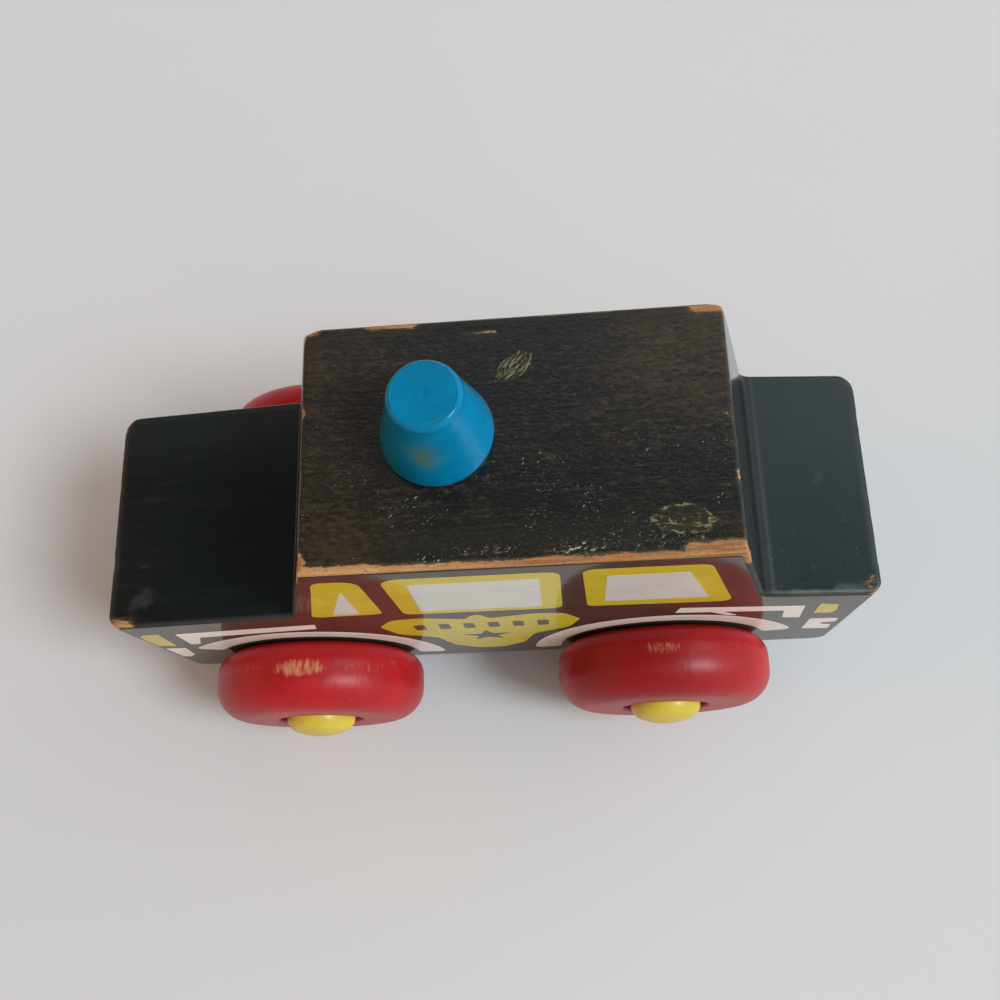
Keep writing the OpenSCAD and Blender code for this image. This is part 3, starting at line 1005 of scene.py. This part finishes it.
class TOYCAR_OT_badges(bpy.types.Operator):
    """Print the yellow badge with a plain star and a row of plain blocks"""
    bl_idname = "toycar.badges"
    bl_label = "Badges"

    def execute(self, context):
        look = context.scene.toycar_print
        right_half = [(-x, z, r) for x, z, r in reversed(BADGE_HALF[1:-1])]
        outline = [(BADGE_X + x, z, r) for x, z, r in (*BADGE_HALF, *right_half)]
        star = []
        for k in range(2 * STAR_POINTS):
            r = STAR_IN if k % 2 else STAR_R
            t = math.pi / 2 + math.pi * k / STAR_POINTS
            star.append(((STAR_X + r * math.cos(t)) * MM, (STAR_Z + r * math.sin(t)) * MM))
        blocks = []
        for k in range(BLOCKS):
            x = BLOCK_X[0] + (BLOCK_X[1] - BLOCK_X[0] - BLOCK_W) * k / (BLOCKS - 1)
            low, high = BLOCK_Z - BLOCK_H / 2, BLOCK_Z + BLOCK_H / 2
            blocks.append([(x, low, BLOCK_R), (x + BLOCK_W, low, BLOCK_R),
                           (x + BLOCK_W, high, BLOCK_R), (x, high, BLOCK_R)])
        print_layer("badge", shapes_of([outline], steps=6), 1, look, "yellow_ink")
        print_layer("badge_marks", [star, *shapes_of(blocks, steps=4)], 2, look, "mark_ink")
        return {"FINISHED"}


# Fender arcs: the wheel that each goes round, and its ends in degrees from the level towards the tail
FENDER_ARCS = (("front_left_wheel", -7, 152), ("rear_left_wheel", 12, 187))
ARC_STEPS = 36
ARC_END_R = 1.2 * MM
# Both ends of an arc flare out, over a share of its length, and on its inner side by a share of the flare
FLARE, FLARE_SHARE, FLARE_POWER, INNER_FLARE = 1.6 * MM, 0.22, 1.5, 0.4


class TOYCAR_OT_fender_arcs(bpy.types.Operator):
    """Print the white arcs that flare out round the wheels"""
    bl_idname = "toycar.fender_arcs"
    bl_label = "Fender arcs"

    def execute(self, context):
        look = context.scene.toycar_print
        outlines = [self.outline(look, *arc_ends) for arc_ends in FENDER_ARCS]
        print_layer("fender_arcs", outlines, 1, look, "white_ink")
        return {"FINISHED"}

    def outline(self, look, wheel, start, end):
        """An arc round a wheel, with rounded ends."""
        centre = AXLES[wheel]
        outer, inner = [], []
        for k in range(ARC_STEPS + 1):
            t = k / ARC_STEPS
            turn = math.radians(start + (end - start) * t)
            flare = FLARE * max(0.0, 1 - min(t, 1 - t) / FLARE_SHARE) ** FLARE_POWER
            for path, r in ((outer, look.arc_r + look.arc_w + flare), (inner, look.arc_r + flare * INNER_FLARE)):
                path.append((centre.x + r * math.cos(turn), centre.z + r * math.sin(turn)))
        path = outer + inner[::-1]
        ends = (0, ARC_STEPS, ARC_STEPS + 1, len(path) - 1)
        return rounded([(*point, ARC_END_R if k in ends else 0) for k, point in enumerate(path)], steps=4)


# White trim lines, lamps and bumpers on the side: corners in x, z and radius, in mm
TRIMS = (
    ((-54.6, 45.2, 0.1), (-55.4, 35.6, 0.2), (-53.6, 35.6, 0.5), (-51.6, 41.4, 0.4), (-29.8, 44.6, 0.2),
     (-29.3, 47.9, 0.2)),
    ((31.3, 44.4, 0.1), (37.3, 43.7, 0.0), (40.4, 40.4, 0.1), (42.2, 40.0, 0.1), (39.4, 43.4, 0.0), (49.7, 42.2, 0.4),
     (50.4, 36.2, 0.4), (53.5, 35.4, 0.2), (52.6, 45.3, 0.1), (31.9, 48.0, 0.2)),
)
LAMPS = (
    ((-61.5, 35.4, 0.8), (-58.5, 34.6, 0.4), (-57.5, 45.7, 0.3), (-60.9, 45.5, 1.2), (-61.6, 41.5, 1.0)),
    ((55.2, 39.0, 0.2), (58.2, 38.4, 0.5), (58.7, 40.6, 0.4), (58.1, 45.2, 0.4), (54.9, 46.6, 0.2)),
)
BUMPERS = (
    ((-61.4, 23.4, 0.6), (-60.0, 23.2, 0.5), (-58.6, 25.2, 0.4), (-57.8, 31.8, 0.3), (-61.5, 32.4, 0.3)),
    ((55.9, 24.6, 0.2), (60.8, 23.6, 0.2), (60.6, 27.4, 0.2), (58.6, 28.1, 0.2), (58.4, 29.9, 0.2), (60.8, 30.2, 0.2),
     (60.7, 33.1, 0.2), (55.6, 33.7, 0.2)),
)


class TOYCAR_OT_trims(bpy.types.Operator):
    """Print the trim lines, lamps and bumpers"""
    bl_idname = "toycar.trims"
    bl_label = "Trims, lamps and bumpers"

    def execute(self, context):
        look = context.scene.toycar_print
        for name, table, ink_name in (("trims", TRIMS, "white_ink"), ("lamps", LAMPS, "yellow_ink"),
                                      ("bumpers", BUMPERS, "white_ink")):
            print_layer(name, shapes_of(table, steps=4), 1, look, ink_name)
        return {"FINISHED"}


# Rubbed patches of each wheel's tread: middle and half length in degrees from the top towards the tail, place across
# the tread towards the car and half width in mm, and depth
WHEEL_RUBS = {
    # On the front left wheel the patch at 34 degrees is partly rubbed paint, partly painted highlight: pale strokes
    # where the lamp's highlight falls
    "front_left_wheel": ((2, 21, 0.8, 2.3, 0.62), (-36, 30, 1.3, 0.9, 0.38), (34, 26, 1.2, 1.6, 0.34),
                         (58, 18, 2.2, 1.0, 0.34), (175, 30, 0, 2.6, 0.6)),
    "rear_left_wheel": ((-4, 15, 1.6, 1.8, 0.46), (40, 22, 2.4, 1.0, 0.32), (140, 22, 0.5, 2.2, 0.7),
                        (-85, 18, 1, 1.6, 0.55)),
    "front_right_wheel": ((46, 18, 0.5, 2.0, 0.75), (187, 20, 1.0, 2.0, 0.7), (-61, 12, 0, 1.6, 0.55)),
    "rear_right_wheel": ((-26, 16, 0.4, 2.0, 0.7), (117, 24, 0.8, 2.2, 0.75), (208, 10, 0, 1.7, 0.6)),
}
# Stretch of each wheel whose paint is made darker: middle and half length in degrees, and share
WHEEL_DARKENED = {
    "front_left_wheel": (-75, 35, 0.35),
    "rear_left_wheel": (-25, 75, 0.85),
    "front_right_wheel": (60, 70, 0.5),
    "rear_right_wheel": (150, 60, 0.6),
}
TREAD_FROM = 14 * MM  # radius
CREST, CREST_DEPTH = 1.2, 0.20  # place across the tread and half width in mm, and depth of its rubbed line
DENT, DENT_FROM = 0.22 * MM, 0.15  # depth, and the rubbing from which the tread is dented
RUB_EDGE, DARKENED_EDGE = 2, 1.5  # how fast patches and darkened stretches grow from their ends
WHEEL_EASE, PEG_EASE, BEACON_EASE = 0.35 * MM, 0.3 * MM, 0.25 * MM  # small bevels of the turned pieces
BEACON_INSIDE = 0.02 * MM  # how far its side lies inside the straight line from foot to rim


class TOYCAR_OT_wheels(bpy.types.Operator):
    """Turn one wheel and copy it to the other axle ends"""
    bl_idname = "toycar.wheels"
    bl_label = "Wheels"

    def execute(self, context):
        look = context.scene.toycar_wheel
        low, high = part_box("front_left_wheel")
        radius, thick = (high.z - low.z) / 2, high.y - low.y
        made = on_axles(WHEELS, self.section(look, radius, thick), high.y, look.steps, True)
        material = turned_paint("red_paint", look.paint, look.wood, rubbed_scale=1500, roughness=0.33, shine=0.28,
                                fade=(0.33, 0.92), swing=1.15, strokes=0.28, share=0.70, score=0.8)
        for node in WHEELS:
            obj = made[node]
            obj.name = obj.data.name = node.replace("wheel", "turned_wheel")
            self.rub(obj, node)
            finish_piece(obj, material, node, smooth=40, replaces=[node])
        return {"FINISHED"}

    def section(self, look, radius, thick):
        """Closed half section: radius, and distance from the inner face."""
        ease = WHEEL_EASE
        inner_r, outer_r = look.inner_tread_r, look.tread_r
        flat_r = radius - outer_r
        floor = thick - look.recess_depth
        points = [(look.bore_r, ease), (look.bore_r + ease, 0)]
        points += [(look.bore_r + (flat_r - look.bore_r) * t, 0) for t in (0.3, 0.6, 0.85)]
        points += arc(radius - inner_r, inner_r, inner_r, -90, 0, 12)
        points += [(radius, inner_r + (thick - inner_r - outer_r) * t) for t in (0.33, 0.67)]
        points += arc(flat_r, thick - outer_r, outer_r, 0, 90, 12)
        points += [(flat_r + (look.recess_r + ease - flat_r) * t, thick) for t in (0.35, 0.7)]
        points += arc(look.recess_r + 1.6 * ease, thick - 1.6 * ease, 1.6 * ease, 90, 180, 4)
        points += arc(look.recess_r - ease, floor + ease, ease, 0, -90, 3)
        points += [(look.bore_r + ease, floor), (look.bore_r, floor - ease)]
        return points

    def rub(self, obj, node):
        """Leave the marks of rubbing for the paint, and dent the tread there."""
        at = points_of(obj)
        axle = AXLES[node]
        turn = np.degrees(np.arctan2(at[:, 0] - axle.x, at[:, 2] - axle.z))
        inwards = (np.abs(axle.y) - np.abs(at[:, 1])) / MM
        tread = np.hypot(at[:, 0] - axle.x, at[:, 2] - axle.z) > TREAD_FROM
        crest = CREST_DEPTH * np.clip(1 - np.abs(inwards - CREST) / CREST, 0, 1)
        rubbed = np.maximum(crest, patches(WHEEL_RUBS[node], turn, inwards, RUB_EDGE)) * tread
        set_attribute(obj, "rubbed", rubbed)
        middle, half_turn, share = WHEEL_DARKENED[node]
        off = np.abs(degrees_off(turn, middle))
        set_attribute(obj, "dull", share * np.clip(DARKENED_EDGE * (1 - off / half_turn), 0, 1))
        carve(obj, "rubbed", np.clip(rubbed - DENT_FROM, 0, 1) * tread, DENT, "dents", grain=2.8 * MM)


# The rubbed ring on a peg's head: middle and half width in mm past the start of its rounding, depth and how much that
# swings, and where it is deepest in degrees, with the step from peg to peg
RING_AT, RING_W, RING_DEPTH, RING_SWING, RING_TURN, RING_STEP = 0.6, 0.9, 0.22, 0.20, 200, 70


class TOYCAR_OT_axle_pegs(bpy.types.Operator):
    """Turn one peg and copy it to the other axle ends"""
    bl_idname = "toycar.axle_pegs"
    bl_label = "Axle pegs"

    def execute(self, context):
        look = context.scene.toycar_peg
        low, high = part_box("front_left_peg")
        total, head_r = high.y - low.y, (high.z - low.z) / 2
        made = on_axles(PEGS, self.section(look, total, head_r), high.y, look.steps, False)
        material = turned_paint("yellow_paint", look.paint, look.wood, rubbed_scale=900, roughness=0.30, shine=0.4,
                                nicks=0.35)
        for k, node in enumerate(PEGS):
            obj = made[node]
            obj.name = obj.data.name = node.replace("peg", "axle_peg")
            at = points_of(obj)
            end = np.abs(at[:, 1]) - (np.abs(at[:, 1]).max() - look.head_edge_r)
            ring = np.clip(1 - np.abs(end / MM - RING_AT) / RING_W, 0, 1)
            turn = np.degrees(np.arctan2(at[:, 0] - at[:, 0].mean(), at[:, 2] - at[:, 2].mean()))
            depth = RING_DEPTH + RING_SWING * np.cos(np.radians(turn - RING_TURN - RING_STEP * k))
            set_attribute(obj, "rubbed", ring * depth)
            finish_piece(obj, material, CAR, smooth=40, replaces=[node])
        return {"FINISHED"}

    def section(self, look, total, head_r):
        """Half section from the shank's end to the head's end."""
        ease = PEG_EASE
        shank_l = total - look.head_l
        rim = total - look.dome
        turn_r = look.head_edge_r
        points = [(0, 0), (look.shank_r - ease, 0), (look.shank_r, ease)]
        points += [(look.shank_r, shank_l * t) for t in (0.35, 0.7)]
        points += [(look.shank_r, shank_l), (head_r - ease, shank_l), (head_r, shank_l + ease)]
        points += arc(head_r - turn_r, rim - turn_r, turn_r, 0, 70, 8)
        inner, rise = points[-1][0], total - points[-1][1]
        points += [(inner * t, total - rise * t * t) for t in (0.8, 0.6, 0.4, 0.2, 0.0)]
        return points


# The beacon's top: its groove, inwards from the edge, then the lathe's mark by radius, each with its depth, in mm
BEACON_GROOVE = ((0, 0), (0.06, 0.06), (0.16, 0.05), (0.45, 0.05))
BEACON_MARK = ((2.6, 0.05), (1.2, 0.05), (0.5, 0.04), (0.3, 0.09), (0, 0.10))
# Its rubbed patches: middle and half width in degrees from the tail, middle and half height in mm, and depth
BEACON_RUBS = ((-97, 44, 7.6, 5.6, 0.66), (150, 50, 5.0, 6.0, 0.5), (30, 40, 3.0, 5.0, 0.4))
# The rubbed line round its top: inwards from the edge and half width in mm, where it is strongest and how far round
# that reaches in degrees, and its least depth with what is added there
TOP_LINE_IN, TOP_LINE_W, TOP_LINE_TURN, TOP_LINE_REACH = 0.05, 0.22, -70, 90
TOP_LINE_DEPTH, TOP_LINE_MORE = 0.22, 0.28
BEACON_SIDE, TOP_LINE_FROM = 5, 13  # mm: radius from which the patches lie, and height from which the line does


class TOYCAR_OT_beacon(bpy.types.Operator):
    """Turn the beacon, with its tenon, rounded rim and the lathe's centre mark"""
    bl_idname = "toycar.beacon"
    bl_label = "Beacon"

    def execute(self, context):
        look = context.scene.toycar_beacon
        centre = (BEACON_LOW + BEACON_HIGH) / 2
        centre.z = BEACON_HIGH.z - look.height
        profile = self.section(look, BEACON_LOW.z - centre.z)
        obj = turned("turned_beacon", profile, centre, Vector((0, 0, 1)), look.steps, False)
        self.lean(obj, {round(d, 7) for r, d in profile if d > 0}, centre, look)
        self.rub(obj, centre, look)
        material = turned_paint("blue_paint", look.paint, look.wood, rubbed_scale=330, roughness=0.12, shine=0.14,
                                nicks=0.3, fade=(0.12, 0.80), swing=0.5)
        finish_piece(obj, material, CAR, smooth=25, replaces=["beacon"])
        return {"FINISHED"}

    def section(self, look, tenon):
        """Half section from the tenon's end to the middle of the top."""
        ease = BEACON_EASE
        rim_z = look.height - look.rim_h
        points = [(0, tenon), (look.tenon_r - ease, tenon), (look.tenon_r, tenon + ease), (look.tenon_r, 0)]
        points += [(look.foot_r - 1.4 * ease, 0), (look.foot_r - 0.5 * ease, 0.5 * ease), (look.foot_r, 1.8 * ease)]
        low = 3 * ease
        points += [(look.foot_r + (look.rim_r - look.foot_r) * t - BEACON_INSIDE, low + (rim_z - low) * t)
                   for t in (0.0, 0.12, 0.25, 0.4, 0.55, 0.7, 0.85, 1.0)]
        reach = look.rim_r - look.top_r
        points += [(look.top_r + reach * math.cos(t), rim_z + look.rim_h * math.sin(t))
                   for t in (math.radians(10 * k) for k in range(2, 9))]
        points += [(look.top_r - inwards * MM, look.height - deep * MM) for inwards, deep in BEACON_GROOVE]
        points += [(r * MM, look.height - deep * MM) for r, deep in BEACON_MARK]
        return points

    def lean(self, obj, heights, centre, look):
        """Move each ring towards the tail by its share of the lean."""
        take(obj, "EDIT")
        for height in sorted(heights):
            pick("VERT", lambda v: abs(v.co.z - centre.z - height) < SAME)
            bpy.ops.transform.translate(value=(look.lean * height / look.height, 0, 0))
        let_go()

    def rub(self, obj, centre, look):
        """Leave the rubbed patches, and a rubbed line round the top, for the paint."""
        at = points_of(obj)
        turn = np.degrees(np.arctan2(at[:, 1] - centre.y, at[:, 0] - centre.x))
        height = (at[:, 2] - centre.z) / MM
        reach = np.hypot(at[:, 0] - centre.x, at[:, 1] - centre.y) / MM
        rubbed = patches(BEACON_RUBS, turn, height) * (reach > BEACON_SIDE)
        line = np.clip(1 - np.abs(reach - (look.top_r / MM - TOP_LINE_IN)) / TOP_LINE_W, 0, 1)
        line = line * (height > TOP_LINE_FROM)
        off = np.abs(degrees_off(turn, TOP_LINE_TURN))
        depth = TOP_LINE_DEPTH + TOP_LINE_MORE * np.clip(1 - off / TOP_LINE_REACH, 0, 1)
        set_attribute(obj, "rubbed", np.maximum(rubbed, line * depth))


FLOOR_R, FLOOR_RIM, FLOOR_STEPS = 3, 2.4, 96  # metres: radius and width of the ring round its middle
SENSOR = 36  # mm
CLIP_START = 0.005  # metres
# The room's light: warm and cool hue, and the glow low on the left
WARM, COOL, GLOW = (1.14, 0.68, 0.42), (0.90, 0.96, 1.0), (1.12, 0.50, 0.18)
# The dim patch overhead: an oval, in thousandths of a unit of direction
OVERHEAD = (-200, 120, 850, 300, 0)


class TOYCAR_OT_stage(bpy.types.Operator):
    """Set the floor, the large lamp, the light of the room and the camera"""
    bl_idname = "toycar.stage"
    bl_label = "Stage"

    def execute(self, context):
        look = context.scene.toycar_stage
        self.lay_floor(look)
        self.hang_lamp(look)
        self.light_room(context.scene, look)
        self.aim_camera(context.scene, look)
        context.scene.view_settings.view_transform = "Standard"
        return {"FINISHED"}

    def lay_floor(self, look):
        let_go()
        bpy.ops.mesh.primitive_circle_add(vertices=FLOOR_STEPS, radius=FLOOR_R, fill_type="NGON")
        floor = bpy.context.object
        floor.name = floor.data.name = "floor"
        bpy.ops.object.mode_set(mode="EDIT")
        pick_all()
        bpy.ops.mesh.inset(thickness=FLOOR_RIM, depth=0)
        right_way_out()
        pick("FACE", lambda face: True)
        bm = bmesh.from_edit_mesh(floor.data)
        if sum(face.normal.z for face in bm.faces) < 0:
            bpy.ops.mesh.flip_normals()
        bpy.ops.object.mode_set(mode="OBJECT")
        floor.data.materials.append(pale_floor(look))

    def hang_lamp(self, look):
        let_go()
        away = Vector(look.key_from).normalized()
        bpy.ops.object.light_add(type="AREA", location=away * look.key_away)
        lamp = bpy.context.object
        lamp.name = lamp.data.name = "key_lamp"
        lamp.data.shape = "DISK"
        lamp.data.size = look.key_size
        lamp.data.energy = look.key_power
        lamp.data.color = look.key_tint
        lamp.rotation_euler = away.to_track_quat("Z", "Y").to_euler()

    def light_room(self, scene, look):
        """Soft light from all round: dim overhead, low and warm on the left, bright and cool on the right.

        Low down, the camera and mirrors see a pale backdrop instead.
        """
        world = bpy.data.worlds.new("room")
        world.use_nodes = True
        scene.world = world
        n = Nodes(world.node_tree, "OutputWorld", "Generated")
        x, z = n.axis["X"], n.axis["Z"]

        def ramp(value, low, high, to_low=0.0, to_high=1.0):
            return n.remap(value, low, high, to_low, to_high, smooth=False)

        high = ramp(z, 0.66, 0.80)
        left = n.times(ramp(x, 0.1, -0.5, 0.0, look.room * 0.7), high)
        level = n.plus(ramp(x, -0.55, 1.0, look.room * 0.05, look.room * 3.6), left)
        overhead = ramp(n.oval(*OVERHEAD), 0.75, 1.2, 0.34, 1.55)
        fall = n.math("MAXIMUM", ramp(z, 0.45, 0.78, 0.30, 1.0), ramp(x, 0.25, 0.7))
        hue = n.mix(n.math("MAXIMUM", ramp(x, -0.1, 0.6), high), WARM, COOL)
        light = {0: n.brightened(hue, n.times(level, overhead, fall)),
                 1: n.brightened(GLOW, ramp(x, -0.55, -0.9, 0.0, look.room * 4.2))}
        light = n.add("VectorMath", light, operation="ADD").outputs[0]

        rays = n.add("LightPath").outputs
        seen = n.math("MAXIMUM", rays["Is Camera Ray"], rays["Is Glossy Ray"])
        seen = n.math("MAXIMUM", seen, rays["Is Transmission Ray"])
        room, pale = (n.add("Background", {"Color": color}).outputs[0] for color in (light, look.floor))
        both = n.add("MixShader", {0: n.times(seen, ramp(z, 0.62, 0.44)), 1: room, 2: pale})
        n.feed(n.output, both.outputs[0])

    def aim_camera(self, scene, look):
        sp, cp = math.sin(look.pitch), math.cos(look.pitch)
        sy, cy = math.sin(look.yaw), math.cos(look.yaw)
        ahead = Vector((sy * cp, cy * cp, -sp))
        level = Vector((cy, -sy, 0))
        above = level.cross(ahead)
        right = level * math.cos(look.roll) + above * math.sin(look.roll)
        up = above * math.cos(look.roll) - level * math.sin(look.roll)
        data = bpy.data.cameras.new("camera")
        data.lens = look.focal / MM
        data.sensor_width = SENSOR
        data.clip_start = CLIP_START
        camera = bpy.data.objects.new("camera", data)
        scene.collection.objects.link(camera)
        camera.matrix_world = Matrix.Translation(look.eye) @ Matrix((right, up, -ahead)).transposed().to_4x4()
        scene.camera = camera


class TOYCAR_PT_pieces(bpy.types.Panel):
    """Settings and steps of the toy car"""
    bl_idname = "TOYCAR_PT_pieces"
    bl_label = "Toy Car"
    bl_space_type = "VIEW_3D"
    bl_region_type = "UI"
    bl_category = "Toy Car"

    def draw(self, context):
        for operators, group in STEPS:
            box = self.layout.box()
            for operator in operators:
                box.operator(operator.bl_idname)
            settings = getattr(context.scene, group)
            for key in settings.__annotations__:
                box.prop(settings, key)


STEPS = (
    ((TOYCAR_OT_stage,), "toycar_stage"),
    ((TOYCAR_OT_body_block,), "toycar_block"),
    ((TOYCAR_OT_side_facings, TOYCAR_OT_windows, TOYCAR_OT_badges, TOYCAR_OT_fender_arcs, TOYCAR_OT_trims),
     "toycar_print"),
    ((TOYCAR_OT_wheels,), "toycar_wheel"),
    ((TOYCAR_OT_axle_pegs,), "toycar_peg"),
    ((TOYCAR_OT_beacon,), "toycar_beacon"),
)
GROUPS = {
    "toycar_stage": TOYCAR_PG_stage,
    "toycar_block": TOYCAR_PG_block,
    "toycar_print": TOYCAR_PG_print,
    "toycar_wheel": TOYCAR_PG_wheel,
    "toycar_peg": TOYCAR_PG_peg,
    "toycar_beacon": TOYCAR_PG_beacon,
}
OPERATORS = [operator for operators, group in STEPS for operator in operators]
CLASSES = (*GROUPS.values(), *OPERATORS, TOYCAR_PT_pieces)


def register():
    for cls in CLASSES:
        bpy.utils.register_class(cls)
    for name, group in GROUPS.items():
        setattr(bpy.types.Scene, name, PointerProperty(type=group))


def unregister():
    for name in GROUPS:
        delattr(bpy.types.Scene, name)
    for cls in reversed(CLASSES):
        bpy.utils.unregister_class(cls)


def main():
    register()
    bpy.ops.toycar.stage()
    bpy.ops.toycar.body_block()
    bpy.ops.toycar.side_facings()
    bpy.ops.toycar.windows()
    bpy.ops.toycar.badges()
    bpy.ops.toycar.fender_arcs()
    bpy.ops.toycar.trims()
    bpy.ops.toycar.wheels()
    bpy.ops.toycar.axle_pegs()
    bpy.ops.toycar.beacon()
    let_go()


if __name__ == "__main__":
    main()
